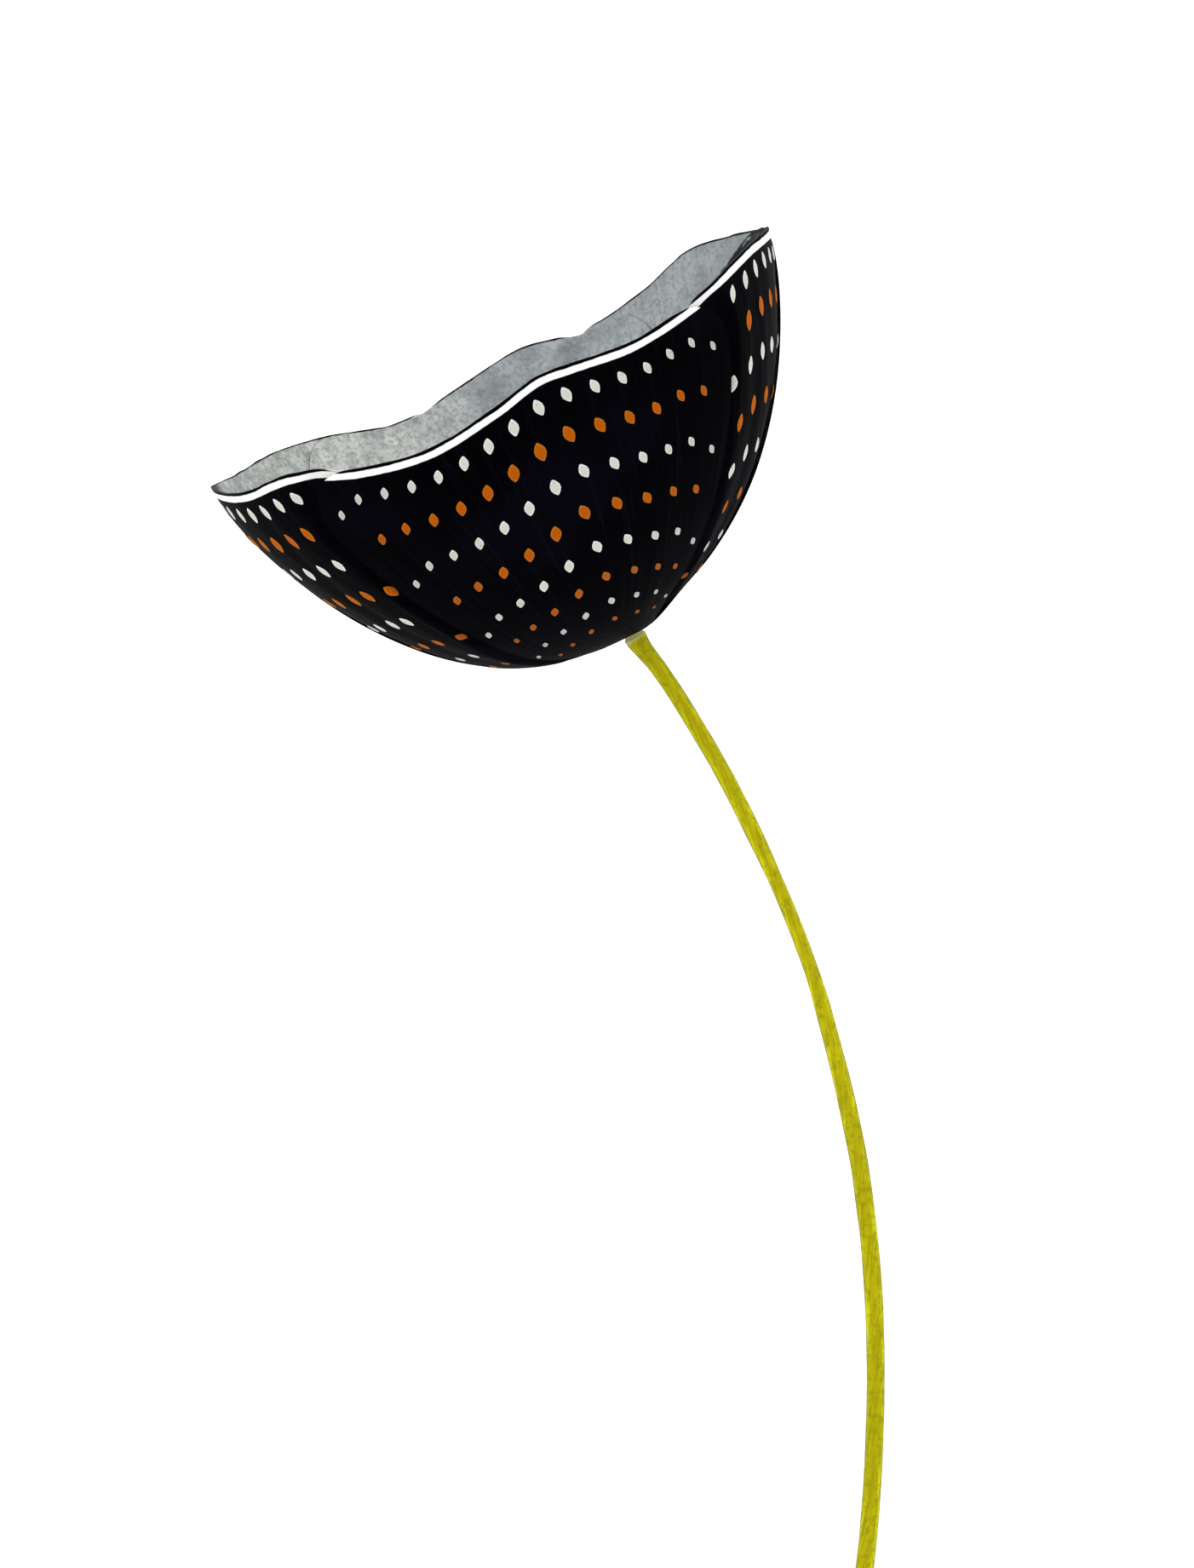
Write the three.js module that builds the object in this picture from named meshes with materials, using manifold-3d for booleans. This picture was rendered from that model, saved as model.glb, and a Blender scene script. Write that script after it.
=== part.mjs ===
// A cut tulip with a wide-open, bowl-shaped bloom, lying on its side on a flat surface.
// Millimetres, +Z up. The surface is z = 0 and the origin is the middle of the flower's footprint on it.
import * as THREE from "three";
import { mergeVertices } from "three/addons/utils/BufferGeometryUtils.js";
import Module from "manifold-3d";

const { cos, sin, acos, sqrt, abs, min, max, PI } = Math;
const radians = THREE.MathUtils.degToRad;
const { clamp, lerp, smoothstep } = THREE.MathUtils;

// The bowl that the tepals share, in the bloom's own frame: its base at the origin and its mouth towards +Z.
const RIM_RADIUS = 50;
const BOWL_HEIGHT = 51.4; // where the wall would stand upright; the rim is a little lower
const FULLNESS = 1.36; // exponent of the wall's curve: 1 is a hemisphere's, a higher one is a narrower base
const JOIN_OFFSET = 5.05; // the stem joins this far to +X of the bowl's lowest point
const JOIN_REACH = [1, 19.5]; // the bowl slides across to that point between these radii
const MOUTH_SHIFT = 3; // the middle of the mouth lies this far to +X of the lowest point
const BELLY_SHIFT = 0.8; // and the bowl's belly bulges this far to +X besides
const BELLY_START = [0, 16]; // heights over which that begins, and ends
const BELLY_END = [16, 48];
const FOOT_LEAN = 0.071; // round the stem the bowl rises towards +X by this share of the distance across
const FOOT_START = [1, 7]; // radii over which that begins, and ends
const FOOT_END = [8, 21];

// The rim waves: its angle about the axis in degrees, and its height above the base.
const RIM_WAVE = [
  [0, 50.7],
  [14, 50.3],
  [28, 50.6],
  [42, 50.7],
  [56, 47.3],
  [70, 45.5],
  [84, 46.8],
  [98, 45.3],
  [112, 44.7],
  [126, 47.8],
  [140, 49.7],
  [158, 49.9],
  [180, 50.9],
  [204, 48.4],
  [222, 49],
  [238, 45.6],
  [252, 44.1],
  [266, 45.6],
  [276, 47.4],
  [283, 46.9],
  [296, 45.7],
  [314, 47.0],
  [336, 50.3],
];

// A tepal is a thin curved blade. The inner three nest inside the outer three.
const THICKNESS = 0.9;
const NEST_GAP = 0.5; // between an inner tepal and the outer ones over it
const CLAW_RADIUS = 2.0; // distance from the axis at which a tepal begins
const BODY_HALF_ANGLE = 45; // degrees about the axis that a tepal takes on each side of its midrib
const SHOULDER_LEVEL = 0.45; // share of its length above which a tepal narrows towards its top
const SHOULDER_START = 0.72; // the top edge follows the rim out to this share of its half width
const SHOULDER_DROP = 12; // and rounds down this far from there to the side margin
const MARGIN_LIFT = 0.3; // an outer tepal's side margins stand off the ones below
const MARGIN_RISE = [0.2, 0.6]; // shares of its length over which they come to that
const RIB_DEPTH = 0.25; // the groove down the outside of a midrib, and its half width
const RIB_HALF_WIDTH = 2.2;
const RIB_START = [0.1, 0.4]; // shares of the length over which the groove deepens, and ends
const RIB_END = [0.7, 1];
const NEST_EASE = [1.5, 4.5]; // an inner tepal comes flush with the outer ones this far from their edges
const LEVEL_RISE = [0.5, 1]; // shares of its length over which a tepal's wall comes to be measured level
const TEPAL_COLUMNS = 26;
const TEPAL_ROWS = 15;
const MARGIN_CROWDING = 0.5; // the grid is closer at the side margins: 0 is even, 1 is as a cosine

// angle: of the midrib about the axis. halfAngle: half the width of the top. Both are in degrees.
const TEPALS = [
  { name: "outer_tepal_1", whorl: "outer", angle: 271.5, halfAngle: 49 },
  { name: "outer_tepal_2", whorl: "outer", angle: 38, halfAngle: 40 },
  { name: "outer_tepal_3", whorl: "outer", angle: 136, halfAngle: 37 },
  { name: "inner_tepal_1", whorl: "inner", angle: 96, halfAngle: 43 },
  { name: "inner_tepal_2", whorl: "inner", angle: 205, halfAngle: 57 },
  { name: "inner_tepal_3", whorl: "inner", angle: 333, halfAngle: 54 },
];

// How the flower lies.
const HEADING = 25.2; // the bloom's mouth points this far round from +Y towards -X
const MOUTH_TILT = 5.4; // and this far above level
const BASE_HEIGHT = 41.4; // of the bloom's base above the surface; the bowl then presses its lowest part flat
const FLAT_EASE = 0.5; // height over which the pressed part rounds off into the bowl
const CLEAR_HEIGHT = [0.5, 2.5]; // ribs and standing margins fade out below these heights

// The stem: its run over the surface, in X and Y from the bloom's base, and where it comes down to lie on it.
const STEM_RADIUS = 1.5;
const STEM_NECK_RADIUS = 1.6; // where it passes between the claws
const STEM_CUT_RADIUS = 1.7;
const STEM_RUN = [
  [4.1, -5.7],
  [7.8, -11.2],
  [14.4, -22.3],
  [20.1, -33.4],
  [25.2, -44.6],
  [29.5, -55.9],
  [32.8, -67.2],
  [35.6, -78.5],
  [37.8, -89.9],
  [39.7, -107.0],
  [40.2, -123.9],
  [39.2, -146.5],
  [36.8, -165.0],
  [32.2, -188.0],
];
const STEM_LANDING = 128; // distance along the run at which it reaches the surface
const STEM_TOP = 2.8; // its upper end stands this far above the bloom's base
const STEM_CUT_TAPER = 0.2; // share of its length over which the thicker cut end thins
const STEM_STEPS = 52;
const STEM_SIDES = 10;

const SEAT_GAP = 0.3; // between pieces that touch

// The stem's upper end: a neck between the claws, and the swelling under them that carries the bloom.
// Each row is a distance down from the end, and a radius.
const STEM_NECK = [
  [0, STEM_NECK_RADIUS],
  [STEM_TOP + SEAT_GAP, STEM_NECK_RADIUS],
  [STEM_TOP + SEAT_GAP + 0.1, 2.15],
  [4.4, 1.95],
  [6, 1.65],
  [8.5, 1.42],
  [12, 1.36],
];

// Below the neck the stem is slender, and most of all about a third of the way down.
const STEM_SLENDER = [
  [12, 1.36],
  [44, 1.36],
  [51, 1.2],
  [69, 1.2],
  [77, 1.36],
  [95, STEM_RADIUS],
];

// The ring that the stamens rise from, round the stem's end, and the stamens.
const RING_INNER_RADIUS = STEM_NECK_RADIUS + SEAT_GAP;
const RING_OUTER_RADIUS = 3.9;
const RING_BASE = 3.12;
const RING_HEIGHT = 1.0;
const RING_BEVEL = 0.5;
const RING_SIDES = 24;
const STAMENS = 6;
const FIRST_STAMEN = 30; // degrees about the axis
const STAMEN_CIRCLE = 3.0; // radius at the filaments' feet
const STAMEN_LEAN = 13; // degrees outwards
const FILAMENT_LENGTH = 10;
const FILAMENT_FOOT_RADIUS = 0.75;
const FILAMENT_TIP_RADIUS = 0.4;
const FILAMENT_SIDES = 7;
const ANTHER_LENGTH = 8.5;
const ANTHER_RADIUS = 1.15;
const ANTHER_SIDES = 9;
const ANTHER_LEVELS = [-1, -0.8, -0.3, 0.3, 0.8, 1]; // along its half length, from its middle
const ANTHER_SEAT = 1.5; // the filament's tip reaches this far into it

// The pistil: a three-sided ovary under a stigma of three lobes.
// Each row is a height, a radius and how deeply it is lobed.
const PISTIL_FOOT = STEM_TOP + SEAT_GAP;
const PISTIL_ROWS = [
  [0, 1.5, 0],
  [1.2, 1.5, 0.02],
  [3.5, 2.0, 0.06],
  [7, 2.35, 0.1],
  [11, 2.25, 0.1],
  [14.5, 1.75, 0.08],
  [16.2, 1.55, 0.1],
  [17.2, 2.2, 0.28],
  [18.3, 2.9, 0.34],
  [19.2, 2.8, 0.34],
  [19.9, 1.9, 0.3],
];
const PISTIL_SIDES = 24;

const PETAL_BLACK = { color: 0x0c0b0e, roughness: 0.55, metalness: 0 };
const STEM_GREEN = { color: 0xb7b305, roughness: 0.6, metalness: 0 };
const STAMEN_BLACK = { color: 0x1f1a20, roughness: 0.7, metalness: 0 };
const PISTIL_GREEN = { color: 0xc6c98a, roughness: 0.5, metalness: 0 };

const wasm = await Module();
wasm.setup();

// The bowl's surface. Latitude is 0 at the base and 90 degrees where the wall stands upright.

function bowlPoint(angle, latitude) {
  const height = BOWL_HEIGHT * (1 - max(0, cos(latitude)) ** FULLNESS);
  const radius = RIM_RADIUS * sin(latitude);
  const belly = smoothstep(height, ...BELLY_START) * (1 - smoothstep(height, ...BELLY_END));
  const lean = (MOUTH_SHIFT * height) / BOWL_HEIGHT + BELLY_SHIFT * belly;
  const middle = lean - JOIN_OFFSET * smoothstep(radius, ...JOIN_REACH);
  const foot = smoothstep(radius, ...FOOT_START) * (1 - smoothstep(radius, ...FOOT_END));
  const rise = FOOT_LEAN * foot * radius * cos(angle);
  return new THREE.Vector3(middle + radius * cos(angle), radius * sin(angle), height + rise);
}

function bowlNormal(angle, latitude) {
  const step = 0.01;
  const round = bowlPoint(angle + step, latitude).sub(bowlPoint(angle - step, latitude));
  const up = bowlPoint(angle, latitude + step).sub(bowlPoint(angle, latitude - step));
  return round.cross(up).normalize();
}

function latitudeAtHeight(height) {
  return acos(clamp(1 - height / BOWL_HEIGHT, 0, 1) ** (1 / FULLNESS));
}

// The rim's height at an angle, on a smooth curve through the wave's points.
function rimHeight(angle) {
  const turn = THREE.MathUtils.euclideanModulo(THREE.MathUtils.radToDeg(angle), 360);
  const count = RIM_WAVE.length;
  const next = RIM_WAVE.findIndex(([place]) => place > turn);
  const after = next < 0 ? count : next;
  const [before, start, end, beyond] = [after - 2, after - 1, after, after + 1].map((index) => {
    const [place, height] = RIM_WAVE[(index + count) % count];
    return { place: place + 360 * Math.floor(index / count), height };
  });
  const span = end.place - start.place;
  const share = (turn - start.place) / span;
  const leave = ((end.height - before.height) / (end.place - before.place)) * span;
  const arrive = ((beyond.height - start.height) / (beyond.place - start.place)) * span;
  const eased = share ** 2 * (3 - 2 * share);
  const bend = share * (1 - share) * ((1 - share) * leave - share * arrive);
  return lerp(start.height, end.height, eased) + bend;
}

// A place on a tepal is given as shares: across, from -1 to 1 between its margins, and along, from 0 at its
// claw to 1 at its top edge.

function halfAngleAt(tepal, along) {
  const narrowing = smoothstep(along, SHOULDER_LEVEL, 1);
  return radians(lerp(BODY_HALF_ANGLE, tepal.halfAngle, narrowing));
}

function topHeight(tepal, across) {
  const rounding = max(0, abs(across) - SHOULDER_START) / (1 - SHOULDER_START);
  const fall = SHOULDER_DROP * (1 - sqrt(max(0, 1 - rounding ** 2)));
  return rimHeight(radians(tepal.angle + across * tepal.halfAngle)) - fall;
}

function tepalSpot(tepal, across, along) {
  const angle = radians(tepal.angle) + across * halfAngleAt(tepal, along);
  const claw = Math.asin(CLAW_RADIUS / RIM_RADIUS);
  const top = latitudeAtHeight(topHeight(tepal, across));
  return { angle, latitude: lerp(claw, top, along) };
}

// Distance from a spot on the bowl to the nearest outer tepal's outline, and 0 inside one. Each shoulder is a
// quarter of an ellipse: out and up are shares of its two half widths.
function distanceFromOuterTepals(angle, latitude) {
  const spot = bowlPoint(angle, latitude);
  const up = max(0, 1 - (rimHeight(angle) - spot.z) / SHOULDER_DROP);
  const distances = TEPALS.filter((tepal) => tepal.whorl === "outer").map((tepal) => {
    const turn = THREE.MathUtils.euclideanModulo(angle - radians(tepal.angle) + PI, 2 * PI) - PI;
    const along = clamp(latitude / latitudeAtHeight(topHeight(tepal, 0)), 0, 1);
    const half = halfAngleAt(tepal, along);
    const out = max(0, abs(turn) / half - SHOULDER_START) / (1 - SHOULDER_START);
    const shoulderWidth = (1 - SHOULDER_START) * half * RIM_RADIUS * sin(latitude);
    const reach = Math.hypot(out, up);
    const steepness = Math.hypot(out / shoulderWidth, up / SHOULDER_DROP);
    return reach > 1 ? ((reach - 1) * reach) / steepness : 0;
  });
  return min(...distances);
}

// The height of a point of the bloom above the surface that the flower lies on, and the way up from there.
const UP = new THREE.Vector3(0, -cos(radians(MOUTH_TILT)), sin(radians(MOUTH_TILT)));

function heightOverSurface(point) {
  return BASE_HEIGHT + point.dot(UP);
}

function liftOntoSurface(height) {
  if (height > FLAT_EASE) return 0;
  if (height < -FLAT_EASE) return -height;
  return (height + FLAT_EASE) ** 2 / (4 * FLAT_EASE) - height;
}

// A point on a tepal's outer face (depth 0) or inner face (depth 1).
function tepalPoint(tepal, across, along, depth) {
  const { angle, latitude } = tepalSpot(tepal, across, along);
  const point = bowlPoint(angle, latitude);
  const height = heightOverSurface(point);
  const clear = smoothstep(height, ...CLEAR_HEIGHT);
  let inset = depth * THICKNESS;
  if (tepal.whorl === "inner") {
    const distance = distanceFromOuterTepals(angle, latitude);
    inset += (THICKNESS + NEST_GAP) * (1 - smoothstep(distance, ...NEST_EASE));
  } else {
    inset -= clear * MARGIN_LIFT * across ** 4 * smoothstep(along, ...MARGIN_RISE);
  }
  if (depth === 0) {
    const fromRib = (across * halfAngleAt(tepal, along) * RIM_RADIUS * sin(latitude)) / RIB_HALF_WIDTH;
    const ribShare = smoothstep(along, ...RIB_START) * (1 - smoothstep(along, ...RIB_END));
    inset += clear * RIB_DEPTH * ribShare * Math.exp(-(fromRib ** 2));
  }
  const outwards = bowlNormal(angle, latitude);
  outwards.z *= 1 - smoothstep(along, ...LEVEL_RISE);
  point.addScaledVector(outwards.normalize(), -inset);
  return point.addScaledVector(UP, liftOntoSurface(height));
}

// A closed blade from a grid of points on two faces, split into triangles alike on both.
function bladeGeometry(pointAt, columns, rows) {
  const positions = [];
  const indices = [];
  const width = columns + 1;
  const face = width * (rows + 1);
  for (const depth of [0, 1]) {
    for (let row = 0; row <= rows; row++) {
      for (let column = 0; column <= columns; column++) {
        const even = (2 * column) / columns - 1;
        const across = lerp(even, sin((PI / 2) * even), MARGIN_CROWDING);
        positions.push(...pointAt(across, row / rows, depth).toArray());
      }
    }
  }
  const quad = (a, b, c, d) => indices.push(a, b, c, a, c, d);
  for (let row = 0; row < rows; row++) {
    for (let column = 0; column < columns; column++) {
      const a = row * width + column;
      const [b, c, d] = [a + 1, a + width + 1, a + width];
      quad(a, b, c, d);
      indices.push(a + face, c + face, b + face, a + face, d + face, c + face);
    }
  }
  for (let row = 0; row < rows; row++) {
    const left = row * width;
    const right = left + columns;
    quad(left, left + width, left + width + face, left + face);
    quad(right, right + face, right + width + face, right + width);
  }
  for (let column = 0; column < columns; column++) {
    const top = rows * width + column;
    quad(column, column + face, column + 1 + face, column + 1);
    quad(top, top + 1, top + 1 + face, top + face);
  }
  const geometry = new THREE.BufferGeometry();
  geometry.setAttribute("position", new THREE.Float32BufferAttribute(positions, 3));
  geometry.setIndex(indices);
  geometry.computeVertexNormals();
  return geometry;
}

// A closed solid from rings of points, each ring the same count, capped flat at both ends.
function ringsGeometry(rings) {
  const sides = rings[0].length;
  const positions = rings.flat().flatMap((point) => point.toArray());
  const indices = [];
  for (let ring = 0; ring < rings.length - 1; ring++) {
    for (let side = 0; side < sides; side++) {
      const a = ring * sides + side;
      const b = ring * sides + ((side + 1) % sides);
      indices.push(a, b, b + sides, a, b + sides, a + sides);
    }
  }
  const last = (rings.length - 1) * sides;
  for (let side = 1; side < sides - 1; side++) {
    indices.push(0, side + 1, side, last, last + side, last + side + 1);
  }
  const geometry = new THREE.BufferGeometry();
  geometry.setAttribute("position", new THREE.Float32BufferAttribute(positions, 3));
  geometry.setIndex(indices);
  geometry.computeVertexNormals();
  return geometry;
}

function mesh(name, geometry, material) {
  const made = new THREE.Mesh(geometry, new THREE.MeshStandardMaterial(material));
  made.name = name;
  return made;
}

// The stem's middle line, from its cut end up to its tip between the claws.
function stemCurve(axis) {
  const base = new THREE.Vector3(0, 0, BASE_HEIGHT);
  const points = [base.clone().addScaledVector(axis, STEM_TOP), base.clone().addScaledVector(axis, -1)];
  const startSlope = -sin(radians(MOUTH_TILT)) * STEM_LANDING;
  const drop = BASE_HEIGHT - STEM_RADIUS;
  let run = 0;
  let from = [0, 0];
  for (const [x, y] of STEM_RUN) {
    run += Math.hypot(x - from[0], y - from[1]);
    from = [x, y];
    const share = min(1, run / STEM_LANDING);
    const eased = 2 * share ** 3 - 3 * share ** 2 + 1;
    const start = share ** 3 - 2 * share ** 2 + share;
    points.push(new THREE.Vector3(x, y, STEM_RADIUS + drop * eased + startSlope * start));
  }
  return new THREE.CatmullRomCurve3(points.reverse(), false, "centripetal");
}

function slenderRadius(down) {
  const next = STEM_SLENDER.findIndex(([place]) => place > down);
  if (next < 0) return STEM_RADIUS;
  const [[from, start], [to, end]] = STEM_SLENDER.slice(next - 1, next + 1);
  return lerp(start, end, (down - from) / (to - from));
}

function stemGeometry(axis) {
  const curve = stemCurve(axis);
  const length = curve.getLength();
  const neckEnd = 1 - STEM_NECK[STEM_NECK.length - 1][0] / length;
  const steps = [];
  for (let step = 0; step < STEM_STEPS; step++) {
    const share = (neckEnd * step) / STEM_STEPS;
    const radius = slenderRadius((1 - share) * length);
    steps.push([share, lerp(STEM_CUT_RADIUS, radius, smoothstep(share, 0, STEM_CUT_TAPER))]);
  }
  for (const [down, radius] of [...STEM_NECK].reverse()) {
    steps.push([1 - down / length, radius]);
  }
  const rings = steps.map(([share, radius]) => {
    const centre = curve.getPointAt(share);
    const tangent = curve.getTangentAt(share);
    const across = new THREE.Vector3(0, 0, 1).cross(tangent).normalize();
    const up = tangent.clone().cross(across);
    const ring = [];
    for (let side = 0; side < STEM_SIDES; side++) {
      const turn = (2 * PI * side) / STEM_SIDES;
      const point = centre.clone();
      point.addScaledVector(across, radius * cos(turn));
      point.addScaledVector(up, radius * sin(turn));
      point.z = max(0, point.z);
      ring.push(point);
    }
    return ring;
  });
  return ringsGeometry(rings);
}

function pistilGeometry() {
  const rings = PISTIL_ROWS.map(([height, radius, lobed]) => {
    const ring = [];
    for (let side = 0; side < PISTIL_SIDES; side++) {
      const turn = (2 * PI * side) / PISTIL_SIDES;
      const reach = radius * (1 + lobed * cos(3 * turn));
      ring.push(new THREE.Vector3(reach * cos(turn), reach * sin(turn), PISTIL_FOOT + height));
    }
    return ring;
  });
  return ringsGeometry(rings);
}

function toManifold(geometry) {
  const bare = geometry.clone();
  bare.deleteAttribute("normal");
  bare.deleteAttribute("uv");
  const merged = mergeVertices(bare, 1e-4);
  return new wasm.Manifold(
    new wasm.Mesh({
      numProp: 3,
      vertProperties: new Float32Array(merged.attributes.position.array),
      triVerts: new Uint32Array(merged.index.array),
    }),
  );
}

function fromManifold(solid) {
  const { vertProperties, triVerts } = solid.getMesh();
  const geometry = new THREE.BufferGeometry();
  geometry.setAttribute("position", new THREE.BufferAttribute(vertProperties, 3));
  geometry.setIndex(new THREE.BufferAttribute(triVerts, 1));
  geometry.computeVertexNormals();
  return geometry;
}

// One filament with its anther, its foot at the origin and rising along +Z.
function stamenSolids() {
  const filament = new THREE.CylinderGeometry(
    FILAMENT_TIP_RADIUS,
    FILAMENT_FOOT_RADIUS,
    FILAMENT_LENGTH,
    FILAMENT_SIDES,
  );
  filament.translate(0, FILAMENT_LENGTH / 2, 0);
  const half = ANTHER_LENGTH / 2;
  const outline = ANTHER_LEVELS.map(
    (level) => new THREE.Vector2(ANTHER_RADIUS * sqrt(1 - level ** 4), half * level),
  );
  const anther = new THREE.LatheGeometry(outline, ANTHER_SIDES);
  anther.translate(0, FILAMENT_LENGTH + half - ANTHER_SEAT, 0);
  return [filament, anther].map((geometry) => geometry.rotateX(PI / 2));
}

// The stamens and the ring that they rise from, as one solid.
function stamensGeometry() {
  const ringTop = RING_BASE + RING_HEIGHT;
  const ring = [
    [RING_INNER_RADIUS, RING_BASE],
    [RING_OUTER_RADIUS, RING_BASE],
    [RING_OUTER_RADIUS - RING_BEVEL, ringTop],
    [RING_INNER_RADIUS, ringTop],
    [RING_INNER_RADIUS, RING_BASE],
  ].map(([radius, height]) => new THREE.Vector2(radius, height));
  let solid = toManifold(new THREE.LatheGeometry(ring, RING_SIDES).rotateX(PI / 2));
  const lean = new THREE.Matrix4().makeRotationY(radians(STAMEN_LEAN));
  lean.setPosition(STAMEN_CIRCLE, 0, RING_BASE + RING_HEIGHT / 2);
  for (let place = 0; place < STAMENS; place++) {
    const turn = new THREE.Matrix4().makeRotationZ(radians(FIRST_STAMEN + (360 * place) / STAMENS));
    for (const geometry of stamenSolids()) {
      solid = solid.add(toManifold(geometry.applyMatrix4(lean).applyMatrix4(turn)));
    }
  }
  return fromManifold(solid);
}

// The bloom in its own frame, then tipped over and turned as it lies.
const bloom = new THREE.Group();
for (const tepal of TEPALS) {
  const pointAt = (across, along, depth) => tepalPoint(tepal, across, along, depth);
  bloom.add(mesh(tepal.name, bladeGeometry(pointAt, TEPAL_COLUMNS, TEPAL_ROWS), PETAL_BLACK));
}
bloom.add(mesh("stamens", stamensGeometry(), STAMEN_BLACK));
bloom.add(mesh("pistil", pistilGeometry(), PISTIL_GREEN));
bloom.rotation.set(radians(MOUTH_TILT - 90), 0, radians(HEADING), "ZYX");
bloom.position.z = BASE_HEIGHT;
bloom.updateMatrixWorld(true);

const bloomAxis = new THREE.Vector3(0, 0, 1).transformDirection(bloom.matrixWorld);
const tulip = new THREE.Group();
tulip.add(bloom, mesh("stem", stemGeometry(bloomAxis), STEM_GREEN));

// The origin goes under the middle of the whole flower.
const footprint = new THREE.Box3().setFromObject(tulip, true).getCenter(new THREE.Vector3());
tulip.position.set(-footprint.x, -footprint.y, 0);

export default tulip;
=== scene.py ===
import math
from typing import NamedTuple

import bpy
import numpy as np
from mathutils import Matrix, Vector


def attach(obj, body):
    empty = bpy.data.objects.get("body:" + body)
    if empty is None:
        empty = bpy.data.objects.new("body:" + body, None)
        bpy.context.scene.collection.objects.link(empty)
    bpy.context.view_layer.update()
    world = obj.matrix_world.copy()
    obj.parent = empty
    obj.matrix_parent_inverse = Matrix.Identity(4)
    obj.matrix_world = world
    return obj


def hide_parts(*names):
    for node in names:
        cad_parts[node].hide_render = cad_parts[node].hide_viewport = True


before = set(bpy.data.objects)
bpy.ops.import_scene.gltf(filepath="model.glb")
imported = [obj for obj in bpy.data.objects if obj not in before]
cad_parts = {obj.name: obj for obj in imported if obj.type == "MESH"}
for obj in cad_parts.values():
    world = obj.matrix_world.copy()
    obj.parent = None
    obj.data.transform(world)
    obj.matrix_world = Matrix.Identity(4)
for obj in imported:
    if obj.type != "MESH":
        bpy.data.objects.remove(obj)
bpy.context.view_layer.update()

MM = 0.001

# How the bloom lies: its base, the way its mouth points round from +Y, and how far that is above level.
BLOOM_BASE = np.array([13.513, 61.059, 41.4])
HEADING = math.radians(25.2)
MOUTH_TILT = math.radians(5.4)
SIDEWAYS = np.array([math.cos(HEADING), math.sin(HEADING), 0])
MOUTH = np.array([
    -math.cos(MOUTH_TILT) * math.sin(HEADING),
    math.cos(MOUTH_TILT) * math.cos(HEADING),
    math.sin(MOUTH_TILT),
])
DOWN = np.cross(MOUTH, SIDEWAYS)
UP = np.array([0, -math.cos(MOUTH_TILT), math.sin(MOUTH_TILT)])

# The bowl that the tepals share, in the bloom's own frame: its base at the origin, its mouth towards +Z.
RIM_RADIUS = 50
BOWL_HEIGHT = 51.4
FULLNESS = 1.36
JOIN_OFFSET = 5.05
JOIN_REACH = (1, 19.5)
MOUTH_SHIFT = 3
BELLY_SHIFT = 0.8
BELLY_START = (0, 16)
BELLY_END = (16, 48)
# Round the stem the bowl rises towards +X by this share of the distance across, between these radii.
FOOT_LEAN = 0.071
FOOT_START = (1, 7)
FOOT_END = (8, 21)
# The rim waves: its angle about the axis in degrees, and its height above the base.
RIM_WAVE = [
    (0, 50.7), (14, 50.3), (28, 50.6), (42, 50.7), (56, 47.3), (70, 45.5), (84, 46.8), (98, 45.3),
    (112, 44.7), (126, 47.8), (140, 49.7), (158, 49.9), (180, 50.9), (204, 49.2), (222, 49.4),
    (238, 46.0), (252, 44.5), (266, 46.0), (276, 47.8), (283, 47.3), (296, 46.1), (314, 47.4), (321, 48.8),
    (336, 50.6),
]

# A tepal is a thin curved blade. The inner three nest inside the outer three.
THICKNESS = 0.9
EDGE_THICKNESS = 0.4
EDGE_REACH = 6
NEST_GAP = 0.5
NEST_EASE = (1.5, 4.5)
CLAW_RADIUS = 2.0
BODY_HALF_ANGLE = 45
SHOULDER_LEVEL = 0.45
SHOULDER_START = 0.72
SHOULDER_DROP = 12
LEVEL_RISE = (0.5, 1)
MARGIN_LIFT = 0.3
MARGIN_RISE = (0.2, 0.6)
RIB_DEPTH = 0.25
RIB_HALF_WIDTH = 2.2
RIB_START = (0.1, 0.4)
RIB_END = (0.7, 1)
FLAT_EASE = 0.5
CLEAR_HEIGHT = (0.5, 2.5)
TEPAL_COLUMNS = 150
TEPAL_ROWS = 110
MARGIN_CROWDING = 0.5
FOLD_DEPTH = 0.12
FOLD_SPACING = 1.6
FOLD_START = (0.1, 0.35)
FOLD_MARGIN = (0, 5)
# More than the widest tepal's way across at the rim.
FOLD_WALK = 2 * math.radians(60) * RIM_RADIUS
RAGGED_DEPTH = 0.16
RAGGED_SPACING = 2.2
# An inner tepal's rim stands this much lower where an outer one covers it, and comes up over this distance.
TUCK_DEPTH = 0.5
TUCK_REACH = 2.5
# Faces that meet at more than this keep a sharp edge between them.
SHARP_ANGLE = math.radians(50)


class Tepal(NamedTuple):
    """angle: of the midrib about the axis. half_angle: half the width of the top. Both are in degrees."""

    name: str
    outer: bool
    angle: float
    half_angle: float


TEPALS = [
    Tepal("outer_tepal_1", True, 271.5, 49),
    Tepal("outer_tepal_2", True, 38, 40),
    Tepal("outer_tepal_3", True, 136, 37),
    Tepal("inner_tepal_1", False, 96, 43),
    Tepal("inner_tepal_2", False, 205, 57),
    Tepal("inner_tepal_3", False, 333, 54),
]

# The stem: its run over the surface, in X and Y from the bloom's base.
STEM_RUN = [
    (4.1, -5.7), (7.8, -11.2), (14.4, -22.3), (20.1, -33.4), (25.2, -44.6), (29.5, -55.9), (32.8, -67.2),
    (35.6, -78.5), (37.8, -89.9), (39.7, -107.0), (40.2, -123.9), (39.2, -146.5), (36.8, -165.0),
    (32.2, -188.0),
]
STEM_TOP = 2.8
STEM_RADIUS = 1.5
STEM_CUT_RADIUS = 1.7
STEM_CUT_TAPER = 0.2
STEM_LANDING = 128
SEAT_GAP = 0.3
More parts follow.
